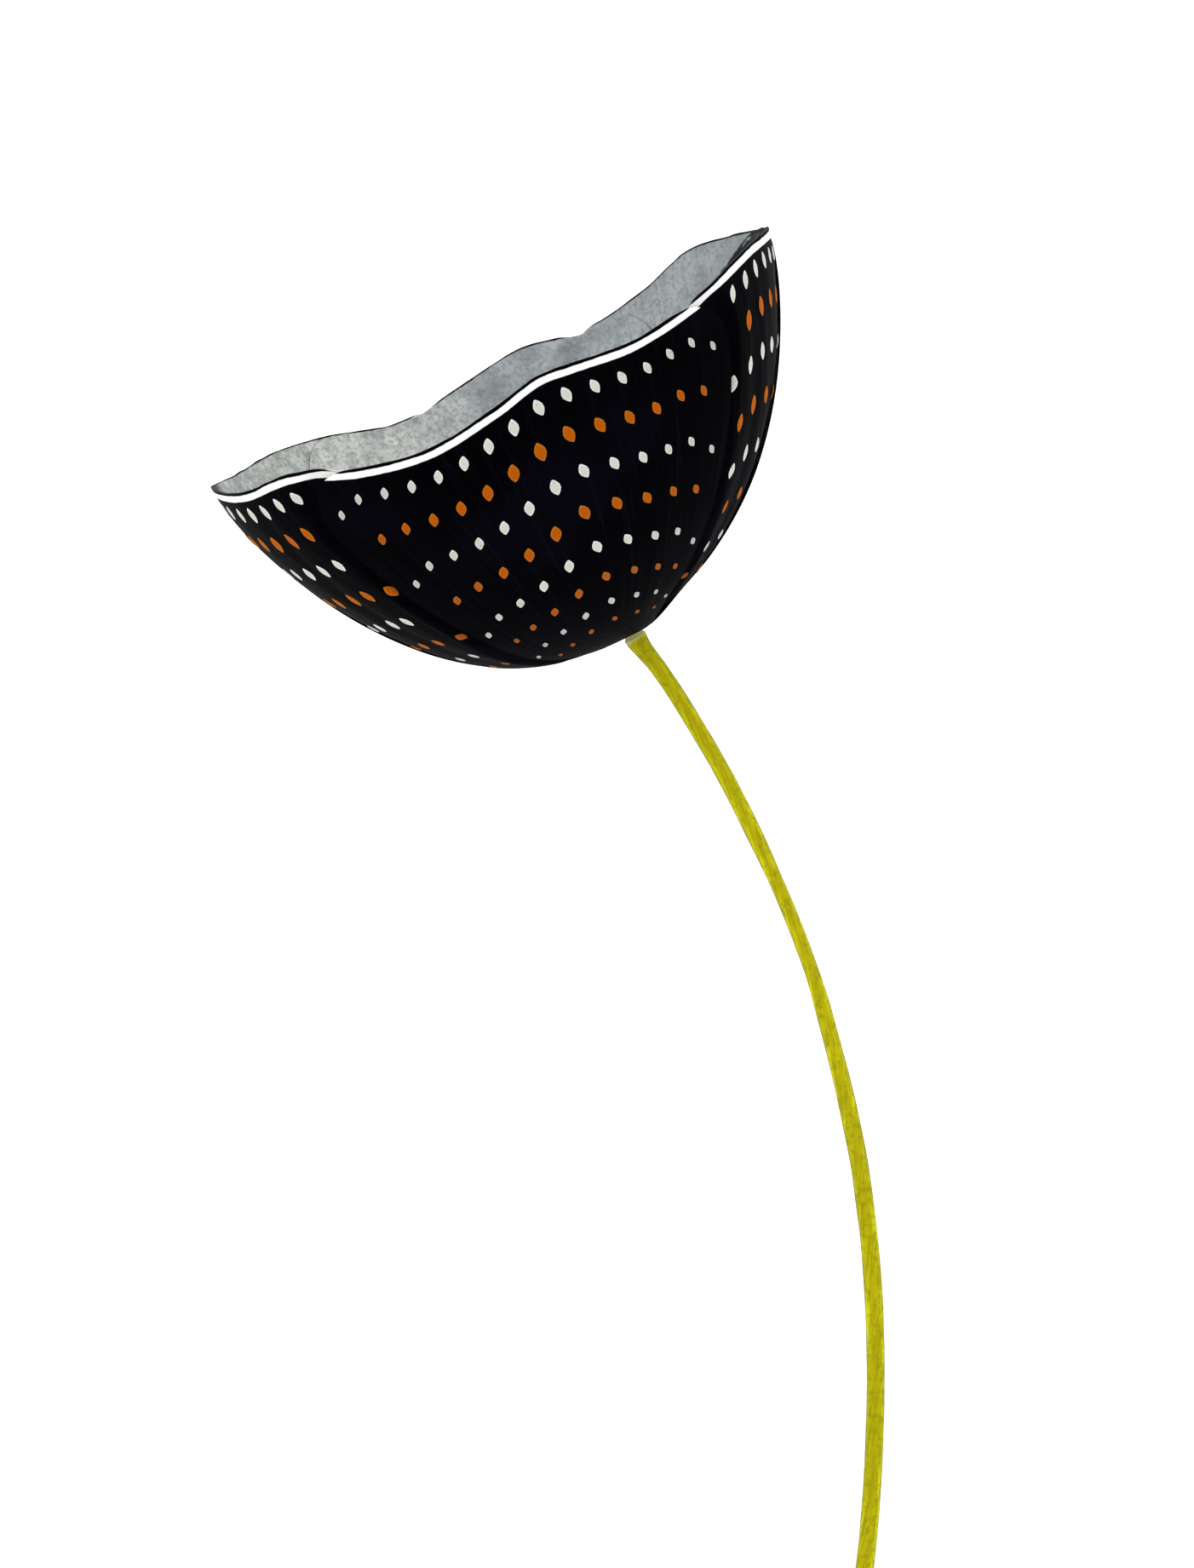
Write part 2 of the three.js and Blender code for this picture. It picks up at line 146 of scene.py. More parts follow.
# Its upper end: distance down from the tip, and radius.
STEM_GIRTH = [
    (0, 1.6), (3.1, 1.6), (3.3, 1.9), (4.4, 1.75), (6, 1.55), (8.5, 1.4), (12, 1.36), (44, 1.36),
    (51, 1.2), (69, 1.2), (77, 1.36), (95, STEM_RADIUS),
]
# The stem's rings: a fine step down to the reach, a wider one below, and the last ones' places above the cut.
STEM_FINE_REACH = 12
STEM_FINE_STEP = 0.2
STEM_STEP = 0.6
STEM_LAST_STEPS = (0.4, 0.2, 0.1, 0)
STEM_SIDES = 32
FIBRE_DEPTH = 0.24

RING_BASE = 3.12
RING_HEIGHT = 1.0
RING_SIDES = 60
# The section of the ring that the stamens stand on, as radius and height.
RING_PROFILE = [
    (1.9, 0), (3.9, 0), (3.95, 0.3), (3.8, 0.65), (3.4, 0.95), (2.7, 1.0), (2.0, 0.98), (1.9, 0.8),
]
STAMEN_SIDES = 24
FILAMENT_TOP = 8.4
FILAMENT_RADII = (0.75, 0.4)
# A filament's girth and colour change over this height.
STAMEN_RISE = 10
ANTHER_MIDDLE = 12.75
ANTHER_HALF = 4.25
ANTHER_RADIUS = 1.15
ANTHER_SQUASH = 0.85
PISTIL_FOOT = STEM_TOP + SEAT_GAP
# Height, radius, and how deeply three-lobed.
PISTIL_ROWS = [
    (0, 1.5, 0), (1.2, 1.5, 0.02), (3.5, 2.0, 0.06), (7, 2.35, 0.1), (11, 2.25, 0.1), (14.5, 1.75, 0.08),
    (16.2, 1.55, 0.1), (17.2, 2.2, 0.28), (18.3, 2.9, 0.34), (19.2, 2.8, 0.34), (19.9, 1.9, 0.3),
]
PISTIL_SIDES = 72
PISTIL_NECK = 16.2
PISTIL_TOP = 19.9
# Grains cover the pistil above this height.
PISTIL_DUSTY = 17.4

# The floor, the light and the camera. The lamps give name, place in metres, size and power.
FLOOR_HALF = 12
FLOOR_DROP = 0.00002
FLOOR_GLOW = 0.7
SKY_STRENGTH = 0.82
LAMPS = [
    ("key_light", (-0.9, 1.1, 1.9), 1.2, 14),
    ("fill_light", (1.2, -0.6, 1.7), 1.4, 6),
]
LAMP_TARGET = (0, 0.03, 0.02)
CAMERA_FROM_BLOOM = np.array([-5.969, -24.459, 2125])
LENS_LENGTH = 300
SENSOR_WIDTH = 36


class Wire:
    """A socket in a node tree. Sums and products of wires add Math nodes."""

    def __init__(self, tree, socket=None):
        self.tree = tree
        self.socket = socket

    def node(self, kind, settings=None, sockets=None, output=0):
        """Adds a node: first its settings, then the values or wires of its sockets."""
        made = self.tree.nodes.new(kind)
        for name, value in (settings or {}).items():
            if name == "stops":
                ramp = made.color_ramp
                while len(ramp.elements) < len(value):
                    ramp.elements.new(1)
                for element, (place, colour) in zip(ramp.elements, value):
                    element.position = place
                    element.color = colour
            else:
                setattr(made, name, value)
        for name, value in (sockets or {}).items():
            if isinstance(value, Wire):
                self.tree.links.new(value.socket, made.inputs[name])
            else:
                made.inputs[name].default_value = value
        return Wire(self.tree, made.outputs[output] if made.outputs else None)

    def math(self, operation, first, second):
        return self.node("ShaderNodeMath", {"operation": operation}, {0: first, 1: second})

    def __add__(self, other):
        return self.math("ADD", self, other)

    def __sub__(self, other):
        return self.math("SUBTRACT", self, other)

    def __rsub__(self, other):
        return self.math("SUBTRACT", other, self)

    def __mul__(self, other):
        return self.math("MULTIPLY", self, other)

    def __truediv__(self, other):
        return self.math("DIVIDE", self, other)

    __radd__ = __add__
    __rmul__ = __mul__


def ease(value, low, high):
    """0 below low, 1 above high, and smooth between."""
    limits = {"Value": value, "From Min": low, "From Max": high}
    return value.node("ShaderNodeMapRange", {"interpolation_type": "SMOOTHSTEP"}, limits)


def blend(share, first, second):
    """The first colour where share is 0, and the second where it is 1."""
    return share.node("ShaderNodeMix", {"data_type": "RGBA"}, {0: share, 6: first, 7: second}, 2)


def noise(place, scale, detail=2.0, roughness=0.5):
    sockets = {"Vector": place, "Scale": scale, "Detail": detail, "Roughness": roughness}
    return place.node("ShaderNodeTexNoise", {}, sockets)


def vector(x, y, z):
    return x.node("ShaderNodeCombineXYZ", {}, {"X": x, "Y": y, "Z": z})


def part_of(place, axis):
    return place.node("ShaderNodeSeparateXYZ", {}, {"Vector": place}, axis)


def srgb(red, green, blue):
    """A colour as a paint chart gives it, 0 to 255, turned linear, with its alpha."""
    shares = [value / 255 for value in (red, green, blue)]
    return (*(s / 12.92 if s <= 0.04045 else ((s + 0.055) / 1.055) ** 2.4 for s in shares), 1)


def finish(name):
    """A new material, and a wire into its empty node tree."""
    material = bpy.data.materials.new(name)
    material.use_nodes = True
    material.node_tree.nodes.clear()
    return material, Wire(material.node_tree)


def surface(wire, sockets, height=None, distance=0.0001, strength=0.5):
    """Ends a material in a Principled surface, with a bump from height where that is given."""
    if height is not None:
        bump = {"Strength": strength, "Distance": distance, "Height": height}
        sockets["Normal"] = wire.node("ShaderNodeBump", {}, bump)
    shader = wire.node("ShaderNodeBsdfPrincipled", {}, sockets)
    wire.node("ShaderNodeOutputMaterial", {}, {"Surface": shader})


def attribute(wire, name):
    return wire.node("ShaderNodeAttribute", {"attribute_name": name}, {}, 2)


def attribute_vector(wire, name):
    return wire.node("ShaderNodeAttribute", {"attribute_name": name}, {}, 1)


def object_place(wire):
    return wire.node("ShaderNodeTexCoord", {}, {}, "Object")


PETAL_BLACK = (0.0006, 0.0006, 0.0012, 1)
PETAL_INK = (0.0016, 0.0014, 0.0034, 1)
PETAL_PALE = (0.95, 0.95, 0.94, 1)
# The pale line along the rim, in millimetres below it: how far down it starts, and where it fades out.
PALE_START = 0.50
PALE_END = (1.54, 1.66)


def petal_outside_finish():
    material, wire = finish("petal_outside")
    across = attribute(wire, "across")
    along = attribute(wire, "along")
    below = attribute(wire, "below_rim")
    place = object_place(wire)
    seed = attribute(wire, "seed")
    veins = noise(vector(across * 36, along * 2.4, seed), 1, 3, 0.6)
    fibres = noise(vector(across * 130, along * 9, seed), 1, 2)
    clouds = noise(place, 55, 3)
    edge = below + (noise(place, 700, 2) - 0.5) * 0.18
    line = PALE_START + (noise(place, 160, 1) - 0.5) * 0.35
    pale = ease(edge - line, -0.05, 0.06) * (1 - ease(edge, *PALE_END))
    dark = blend(ease(clouds, 0.4, 0.7), PETAL_BLACK, PETAL_INK)
    dark = blend(ease(veins, 0.52, 0.75) * 0.6, dark, srgb(13, 12, 20))
    colour = blend(pale, dark, PETAL_PALE)
    roughness = 0.40 + veins * 0.22 + fibres * 0.08
    sockets = {"Base Color": colour, "Roughness": roughness, "Specular IOR Level": 0.004}
    surface(wire, sockets, veins * 0.7 + fibres * 0.3, 0.00025, 0.6)
    return material


# The mouth's left corner, sideways from the bloom's middle, and the mouth's width, both in metres.
MOUTH_LEFT = -0.0521
MOUTH_WIDTH = 0.1
# Grey of the inside from the left corner of the mouth to the right one.
INSIDE_GREYS = [
    (0.0, srgb(218, 224, 215)),
    (0.33, srgb(233, 234, 227)),
    (0.50, srgb(188, 195, 198)),
    (0.8, srgb(184, 190, 190)),
    (1.0, srgb(160, 166, 169)),
]
# The painted shadow in the right corner, where the near wall shades the inside, starts and ends at depths
# below the rim that grow away from the corner:
# the share of the mouth's width where the depth is nothing, and its growth over a whole width in millimetres.
CORNER_SHADOW_START = (0.976, 73)
CORNER_SHADOW_END = (0.98, 53)
# It fades out away from the corner, by that share, and upwards, by the height over the surface in metres.
CORNER_SHADOW_SHARE = (0.87, 0.90)
CORNER_SHADOW_HEIGHT = (0.0485, 0.0515)


def petal_inside_finish():
    material, wire = finish("petal_inside")
    across = attribute(wire, "across")
    along = attribute(wire, "along")
    below = attribute(wire, "below_rim")
    seed = attribute(wire, "seed")
    place = object_place(wire)
    sides = {0: place, 1: tuple(SIDEWAYS)}
    offset = wire.node("ShaderNodeVectorMath", {"operation": "DOT_PRODUCT"}, sides, "Value")
    middle = float(BLOOM_BASE @ SIDEWAYS) * MM
    share = (offset - (middle + MOUTH_LEFT)) / MOUTH_WIDTH
    grey = wire.node("ShaderNodeValToRGB", {"stops": INSIDE_GREYS}, {"Fac": share})
    veins = noise(vector(across * 42, along * 2.2, seed), 1, 3, 0.6)
    wash = noise(place, 120, 4, 0.6)
    stains = noise(place, 420, 4, 0.7)
    grains = noise(place, 1300, 3, 0.7)
    grey = blend(ease(wash, 0.35, 0.75) * 0.5, grey, srgb(132, 138, 142))
    grey = blend(ease(stains, 0.40, 0.64) * 0.45, grey, srgb(128, 135, 139))
    grey = blend(ease(grains, 0.48, 0.62) * 0.5, grey, srgb(118, 125, 129))
    grey = blend(ease(veins, 0.55, 0.8) * 0.45, grey, srgb(98, 104, 112))
    # Painted shade: the inside grows darker deeper down in the bowl.
    depth_shade = 1 - ease(along + (veins - 0.5) * 0.12, 0.50, 0.86)
    grey = blend(depth_shade * 0.92, grey, srgb(38, 38, 46))
    blotch = 1 - ease(along + (veins - 0.5) * 0.16, 0.16, 0.30)
    grey = blend(blotch, grey, PETAL_INK)
    # Painted shadow: the inside turns to ink towards the mouth's right corner, where the near wall shades it.
    start, end = ((corner - share) * growth for corner, growth in (CORNER_SHADOW_START, CORNER_SHADOW_END))
    corner_shadow = ease(below - start + (stains - 0.5) * 0.8, -0.2, 0.2) * ease(share, *CORNER_SHADOW_SHARE)
    corner_shadow = corner_shadow * (1 - ease(part_of(place, 2), *CORNER_SHADOW_HEIGHT))
    corner_shadow = corner_shadow * (1 - ease(below - end + (veins - 0.5) * 2, 2.0, 3.8))
    outline = 1 - ease(below + (noise(place, 900, 1) - 0.5) * 0.2, 0.16, 0.32)
    # Painted shade: the inside turns to ink at the mouth's left corner tip.
    tip = 1 - ease(share, 0.004, 0.018)
    # The painted shade at the left tip and in the right corner, with the dark outline along the rim, all in
    # ink.
    drawn = wire.math("MAXIMUM", tip, wire.math("MAXIMUM", corner_shadow, outline))
    colour = blend(drawn, grey, PETAL_INK)
    sockets = {"Base Color": colour, "Roughness": 0.5 + veins * 0.25, "Specular IOR Level": 0.1}
    surface(wire, sockets, veins * 0.6 + grains * 0.4, 0.0002, 0.4)
    return material


def fleck_finish():
    material, wire = finish("fleck")
    place = object_place(wire)
    crown = attribute(wire, "crown")
    grain = noise(place, 1400, 3)
    white = blend(ease(crown, 0.25, 0.8), srgb(240, 240, 238), srgb(206, 204, 193))
    amber = blend(ease(crown, 0.25, 0.8), srgb(190, 112, 20), srgb(176, 84, 2))
    colour = blend(attribute(wire, "amber"), white, amber)
    shade = attribute(wire, "shade")
    colour = blend(shade, colour, srgb(46, 46, 56))
    colour = blend(ease(grain, 0.52, 0.8) * 0.3, colour, srgb(96, 74, 30))
    sockets = {"Base Color": colour, "Roughness": 0.5 + grain * 0.2, "Specular IOR Level": 0.03}
    surface(wire, sockets, grain, 0.00005, 0.4)
    return material


def stem_finish():
    material, wire = finish("stem")
    spoke = attribute_vector(wire, "spoke")
    down = attribute(wire, "down")
    place = object_place(wire)
    scales = {0: spoke, 1: (1.3, 1.3, 1.3)}
    drawn = wire.node("ShaderNodeVectorMath", {"operation": "MULTIPLY"}, scales)
    shift = vector(down * 0.12, down * 0.05, down * 0.08)
    track = wire.node("ShaderNodeVectorMath", {"operation": "ADD"}, {0: drawn, 1: shift})
    streaks = noise(track, 1, 3, 0.6)
    fibres = noise(track, 3.2, 3, 0.6)
    blotches = noise(place, 160, 3, 0.6)
    specks = noise(place, 900, 3, 0.7)
    colour = blend(ease(blotches, 0.35, 0.7), srgb(190, 184, 6), srgb(172, 167, 2))
    colour = blend(ease(streaks, 0.50, 0.62), colour, srgb(212, 210, 6))
    colour = blend(ease(fibres, 0.48, 0.60) * 0.7, colour, srgb(150, 142, 0))
    colour = blend(ease(specks, 0.50, 0.64) * 0.45, colour, srgb(128, 120, 0))
    facing = part_of(spoke, 2)
    # Darker olive in streaks over the stem's top, set by how far its surface faces up.
    facing_up_dark = ease(facing + (streaks - 0.5) * 0.9, 0.80, 1.02)
    colour = blend(facing_up_dark * 0.6, colour, srgb(160, 148, 0))
    # Painted shade: the stem darker olive on its sides and underside, where its surface faces away from up.
    side_shade = 1 - ease(facing, 0.12, 0.48)
    colour = blend(side_shade * ease(blotches, 0.30, 0.50) * 0.9, colour, srgb(96, 92, 0))
    pale = (1 - ease(down + (blotches - 0.5) * 2, 3.4, 4.0)) * 0.7
    colour = blend(pale, colour, srgb(206, 208, 150))
    cut = attribute(wire, "cut")
    pith = noise(place, 2600, 2)
    pith = blend(ease(pith, 0.45, 0.62), srgb(214, 216, 150), srgb(168, 176, 84))
    colour = blend(cut, colour, pith)
    sockets = {"Base Color": colour, "Roughness": 0.42 + fibres * 0.25, "Specular IOR Level": 0.06}
    surface(wire, sockets, streaks * 0.6 + fibres * 0.4, 0.00022, 0.5)
    return material


def stamen_finish():
    material, wire = finish("stamen")
    place = object_place(wire)
    dust = attribute(wire, "dusty")
    rise = attribute(wire, "rise")
    grain = noise(place, 1700, 3)
    thread = blend(ease(rise, 0.0, 0.6), srgb(150, 156, 130), srgb(48, 40, 58))
    powder = blend(ease(grain, 0.4, 0.7), srgb(54, 46, 60), srgb(96, 84, 88))
    colour = blend(dust, thread, powder)
    sockets = {"Base Color": colour, "Roughness": 0.6 + dust * 0.3, "Specular IOR Level": 0.3}
    surface(wire, sockets, grain, 0.0001, 0.5)
    return material


def pistil_finish():
    material, wire = finish("pistil")
    place = object_place(wire)
    rise = attribute(wire, "rise")
    grain = noise(place, 900, 3)
    clouds = noise(place, 220, 2)
    body = blend(ease(clouds, 0.35, 0.7), srgb(178, 184, 120), srgb(148, 158, 92))
    crest = blend(ease(grain, 0.4, 0.7), srgb(222, 214, 160), srgb(196, 186, 120))
    colour = blend(ease(rise, 0.80, 0.88), body, crest)
    sockets = {"Base Color": colour, "Roughness": 0.4 + grain * 0.2, "Specular IOR Level": 0.35}
    surface(wire, sockets, grain, 0.00012, 0.5)
    return material


def floor_finish():
    material, wire = finish("floor")
    grain = noise(object_place(wire), 40, 2)
    colour = blend(grain, (0.90, 0.90, 0.90, 1), (0.915, 0.915, 0.915, 1))
    glow = {"Emission Color": colour, "Emission Strength": FLOOR_GLOW}
    surface(wire, {"Base Color": colour, "Roughness": 0.9, "Specular IOR Level": 0.1, **glow})
    return material


def to_metres(points):
    """Points of the bloom's own frame, put where the bloom lies."""
    axes = np.array([SIDEWAYS, DOWN, MOUTH])
    return (BLOOM_BASE + points @ axes) * MM


def make_object(name, points, faces, values=None, materials=(), slots=None, edges=()):
    """An object from points in metres, with named values at its points and a material slot for each face."""
    mesh = bpy.data.meshes.new(name)
    mesh.from_pydata(points.tolist(), list(edges), faces)
    for label, data in (values or {}).items():
        flat = np.asarray(data, dtype=np.float32)
        if flat.ndim == 2:
            made = mesh.attributes.new(label, "FLOAT_VECTOR", "POINT")
            made.data.foreach_set("vector", flat.ravel())
        else:
            made = mesh.attributes.new(label, "FLOAT", "POINT")
            made.data.foreach_set("value", flat)
    for material in materials:
        mesh.materials.append(material)
    if slots is not None:
        mesh.polygons.foreach_set("material_index", slots)
    mesh.polygons.foreach_set("use_smooth", [True] * len(mesh.polygons))
    mesh.update()
    made = bpy.data.objects.new(name, mesh)
    bpy.context.collection.objects.link(made)
    return made


def ring_faces(rings, sides):
    """Quads between rings of points, with a flat face at each end."""
    faces = []
    for ring in range(rings - 1):
        low, high = ring * sides, (ring + 1) * sides
        for side in range(sides):
            after = (side + 1) % sides
            faces.append((low + side, low + after, high + after, high + side))
    top = (rings - 1) * sides
    faces.append(tuple(reversed(range(sides))))
    faces.append(tuple(range(top, top + sides)))
    return faces


def full_turn(sides):
    return np.linspace(0, 2 * math.pi, sides, endpoint=False)


def ring_points(radii, turn, height, squash=1):
    """One ring of points round +Z, narrowed along Y by squash."""
    return [(r * math.cos(t), r * math.sin(t) * squash, height) for r, t in zip(radii, turn)]


def smoothstep(value, low, high):
    share = np.clip((value - low) / (high - low), 0, 1)
    return share * share * (3 - 2 * share)


def lerp(first, second, share):
    return first + (second - first) * share


def bowl_point(angle, latitude):
    """Latitude is 0 at the base, and 90 degrees where the wall stands upright."""
    height = BOWL_HEIGHT * (1 - np.maximum(0, np.cos(latitude)) ** FULLNESS)
    radius = RIM_RADIUS * np.sin(latitude)
    belly = smoothstep(height, *BELLY_START) * (1 - smoothstep(height, *BELLY_END))
    lean = MOUTH_SHIFT * height / BOWL_HEIGHT + BELLY_SHIFT * belly
    middle = lean - JOIN_OFFSET * smoothstep(radius, *JOIN_REACH)
    foot = smoothstep(radius, *FOOT_START) * (1 - smoothstep(radius, *FOOT_END))
    rise = FOOT_LEAN * foot * radius * np.cos(angle)
    return np.stack([middle + radius * np.cos(angle), radius * np.sin(angle), height + rise], axis=-1)


def bowl_normal(angle, latitude):
    step = 0.01
    about = bowl_point(angle + step, latitude) - bowl_point(angle - step, latitude)
    rising = bowl_point(angle, latitude + step) - bowl_point(angle, latitude - step)
    normal = np.cross(about, rising)
    return normal / np.linalg.norm(normal, axis=-1, keepdims=True)


def latitude_at_height(height):
    return np.arccos(np.clip(1 - height / BOWL_HEIGHT, 0, 1) ** (1 / FULLNESS))


def half_angle_at(tepal, along):
    narrowing = smoothstep(along, SHOULDER_LEVEL, 1)
    return np.radians(lerp(BODY_HALF_ANGLE, tepal.half_angle, narrowing))


def rim_height(angle):
    """The rim's height at an angle, on a smooth curve through the wave's points."""
    turn, height = np.array(RIM_WAVE).T
    turn = np.concatenate([turn[-2:] - 360, turn, turn[:2] + 360])
    height = np.concatenate([height[-2:], height, height[:2]])
    place = np.mod(np.degrees(angle), 360)
    start = np.searchsorted(turn, place, side="right") - 1
    span = turn[start + 1] - turn[start]
    share = (place - turn[start]) / span
    leave = (height[start + 1] - height[start - 1]) / (turn[start + 1] - turn[start - 1]) * span
    arrive = (height[start + 2] - height[start]) / (turn[start + 2] - turn[start]) * span
    bend = share * (1 - share) * ((1 - share) * leave - share * arrive)
    return lerp(height[start], height[start + 1], share**2 * (3 - 2 * share)) + bend


def top_height(tepal, across):
    rounding = np.maximum(0, np.abs(across) - SHOULDER_START) / (1 - SHOULDER_START)
    fall = SHOULDER_DROP * (1 - np.sqrt(np.maximum(0, 1 - rounding**2)))
    return rim_height(np.radians(tepal.angle + across * tepal.half_angle)) - fall


def turn_from(tepal, angle):
    return np.mod(angle - math.radians(tepal.angle) + math.pi, 2 * math.pi) - math.pi


def distance_from_outer(angle, latitude):
    """Distance from a spot on the bowl to the nearest outer tepal's outline, and 0 inside one."""
    up = np.maximum(0, 1 - (rim_height(angle) - bowl_point(angle, latitude)[..., 2]) / SHOULDER_DROP)
    distances = []
    for tepal in TEPALS:
        if tepal.outer:
            along = np.clip(latitude / latitude_at_height(top_height(tepal, 0)), 0, 1)
            half = half_angle_at(tepal, along)
            across = np.abs(turn_from(tepal, angle)) / half
            out = np.maximum(0, across - SHOULDER_START) / (1 - SHOULDER_START)
            shoulder_width = (1 - SHOULDER_START) * half * RIM_RADIUS * np.sin(latitude)
            reach = np.hypot(out, up)
            steepness = np.hypot(out / shoulder_width, up / SHOULDER_DROP)
            distances.append(np.where(reach > 1, (reach - 1) * reach / np.maximum(steepness, 1e-6), 0))
    return np.min(distances, axis=0)


def wander(places, spacing, reach, seed):
    """A smooth random line from 0 to 1 along places, with a turn about every spacing."""
    count = int(reach / spacing) + 3
    values = np.random.default_rng(seed).random(count)
    spots = np.clip(places / spacing, 0, count - 2)
    start = np.floor(spots).astype(int)
    share = smoothstep(spots - start, 0, 1)
    return lerp(values[start], values[start + 1], share)


def lift_onto_surface(height):
    pressed = (height + FLAT_EASE) ** 2 / (4 * FLAT_EASE) - height
    return np.where(height > FLAT_EASE, 0, np.where(height < -FLAT_EASE, -height, pressed))


def tepal_spot(tepal, across, along):
    """A place's angle and latitude on the bowl, and the height of the tepal's edge above it.

    across goes from -1 to 1, and along from 0 at the claw to 1 at the tip.
    """
    half = math.radians(tepal.half_angle)
    walk = (across + 1) * half * RIM_RADIUS
    ragged = RAGGED_DEPTH * (wander(walk, RAGGED_SPACING, 2 * half * RIM_RADIUS, int(tepal.angle)) - 0.5)
    top = top_height(tepal, across) - ragged
    if not tepal.outer:
        distance = distance_from_outer(math.radians(tepal.angle) + across * half, latitude_at_height(top))
        top = top - TUCK_DEPTH * (1 - smoothstep(distance, 0, TUCK_REACH))
    angle = math.radians(tepal.angle) + across * half_angle_at(tepal, along)
    claw = math.asin(CLAW_RADIUS / RIM_RADIUS)
    return angle, lerp(claw, latitude_at_height(top), along), top


def tepal_point(tepal, across, along, depth):
    """A point on a tepal's outer face, depth 0, or inner face, depth 1."""
    angle, latitude, top = tepal_spot(tepal, across, along)
    point = bowl_point(angle, latitude)
    height = BLOOM_BASE[2] + point @ UP
    clear = smoothstep(height, *CLEAR_HEIGHT)
    half = half_angle_at(tepal, along)
    arc = half * RIM_RADIUS * np.sin(latitude)
    from_edge = np.minimum((1 - np.abs(across)) * arc, top - point[..., 2])
    inset = depth * THICKNESS * lerp(EDGE_THICKNESS / THICKNESS, 1, smoothstep(from_edge, 0, EDGE_REACH))
    if tepal.outer:
        inset = inset - clear * MARGIN_LIFT * across**4 * smoothstep(along, *MARGIN_RISE)
    else:
        distance = distance_from_outer(angle, latitude)
        inset = inset + (THICKNESS + NEST_GAP) * (1 - smoothstep(distance, *NEST_EASE))
    body = smoothstep(along, *FOLD_START) * smoothstep(from_edge, *FOLD_MARGIN)
    walk = (across + 1) * half * RIM_RADIUS
    fold = FOLD_DEPTH * wander(walk, FOLD_SPACING, FOLD_WALK, int(tepal.angle) + 1)
    if depth == 0:
        rib = smoothstep(along, *RIB_START) * (1 - smoothstep(along, *RIB_END))
        inset = inset + clear * RIB_DEPTH * rib * np.exp(-((across * arc / RIB_HALF_WIDTH) ** 2))
        inset = inset + clear * body * fold
    else:
        inset = inset - body * (FOLD_DEPTH - fold)
    outwards = bowl_normal(angle, latitude)
    outwards[..., 2] *= 1 - smoothstep(along, *LEVEL_RISE)
    outwards /= np.linalg.norm(outwards, axis=-1, keepdims=True)
    point = point - outwards * inset[..., None]
    return point + UP * lift_onto_surface(height)[..., None]


def tepal_values(tepal, across, along):
    """What the petal's materials read at each point, for the outer face and again for the inner one."""
    angle, latitude, _ = tepal_spot(tepal, across, along)
    height = bowl_point(angle, latitude)[..., 2]
    rim = rim_height(angle)
    slope = np.gradient(rim[-1], angle[-1] * RIM_RADIUS)
    below = (rim - height) / np.hypot(1, slope)
    seed = np.full(across.shape, tepal.angle / 10)
    values = {"across": across, "along": along, "below_rim": below, "seed": seed}
    return {label: np.tile(data.ravel(), 2) for label, data in values.items()}


def tepal_faces(tepal):
    """The faces of a blade, and the material of each: 0 is the outside's, and 1 the inside's."""
    width = TEPAL_COLUMNS + 1
    count = width * (TEPAL_ROWS + 1)
    spots = np.arange(count).reshape(TEPAL_ROWS + 1, width)
    a, b, c, d = spots[:-1, :-1], spots[:-1, 1:], spots[1:, 1:], spots[1:, :-1]
    outside = np.stack([a, b, c, d], axis=-1).reshape(-1, 4)
    inside = np.stack([a, d, c, b], axis=-1).reshape(-1, 4) + count
    left, right, bottom, tip = spots[:, 0], spots[:, -1], spots[0], spots[-1]
    edges = []
    for line in (left[::-1], right, tip[::-1], bottom):
        edges.append(np.stack([line[:-1], line[:-1] + count, line[1:] + count, line[1:]], axis=-1))
    faces = np.concatenate([outside, inside, *edges])
    slots = np.zeros(len(faces), dtype=np.int32)
    grey_edges = 0 if tepal.outer else 2 * TEPAL_ROWS + TEPAL_COLUMNS
    slots[len(outside) : len(outside) + len(inside) + grey_edges] = 1
    return faces.tolist(), slots


def make_tepal(tepal, materials):
    even = np.linspace(-1, 1, TEPAL_COLUMNS + 1)
    columns = lerp(even, np.sin(math.pi / 2 * even), MARGIN_CROWDING)
    across, along = np.meshgrid(columns, np.linspace(0, 1, TEPAL_ROWS + 1))
    sides = [tepal_point(tepal, across, along, depth).reshape(-1, 3) for depth in (0, 1)]
    points = to_metres(np.concatenate(sides))
    faces, slots = tepal_faces(tepal)
    made = make_object(tepal.name, points, faces, tepal_values(tepal, across, along), materials, slots)
    made.data.set_sharp_from_angle(angle=SHARP_ANGLE)
    return made


def new_tree(name, inputs):
    """A Geometry Nodes tree with a geometry input and output, and these named inputs besides."""
    tree = bpy.data.node_groups.new(name, "GeometryNodeTree")
    tree.interface.new_socket("Geometry", in_out="INPUT", socket_type="NodeSocketGeometry")
    for label, kind in inputs.items():
        tree.interface.new_socket(label, in_out="INPUT", socket_type=f"NodeSocket{kind}")
    tree.interface.new_socket("Geometry", in_out="OUTPUT", socket_type="NodeSocketGeometry")
    wire = Wire(tree)
    group = tree.nodes.new("NodeGroupInput")
    sockets = {label: Wire(tree, group.outputs[label]) for label in ("Geometry", *inputs)}
    return wire, sockets


def end_tree(wire, geometry, material):
    """Ends a tree in real, smooth faces of one material."""
    real = wire.node("GeometryNodeRealizeInstances", {}, {"Geometry": geometry})
    smooth = wire.node("GeometryNodeSetShadeSmooth", {}, {"Geometry": real})
    painted = wire.node("GeometryNodeSetMaterial", {}, {"Geometry": smooth, "Material": material})
    wire.node("NodeGroupOutput", {}, {"Geometry": painted})
    return wire.tree


def named(wire, name, kind="FLOAT"):
    return wire.node("GeometryNodeInputNamedAttribute", {"data_type": kind}, {"Name": name})


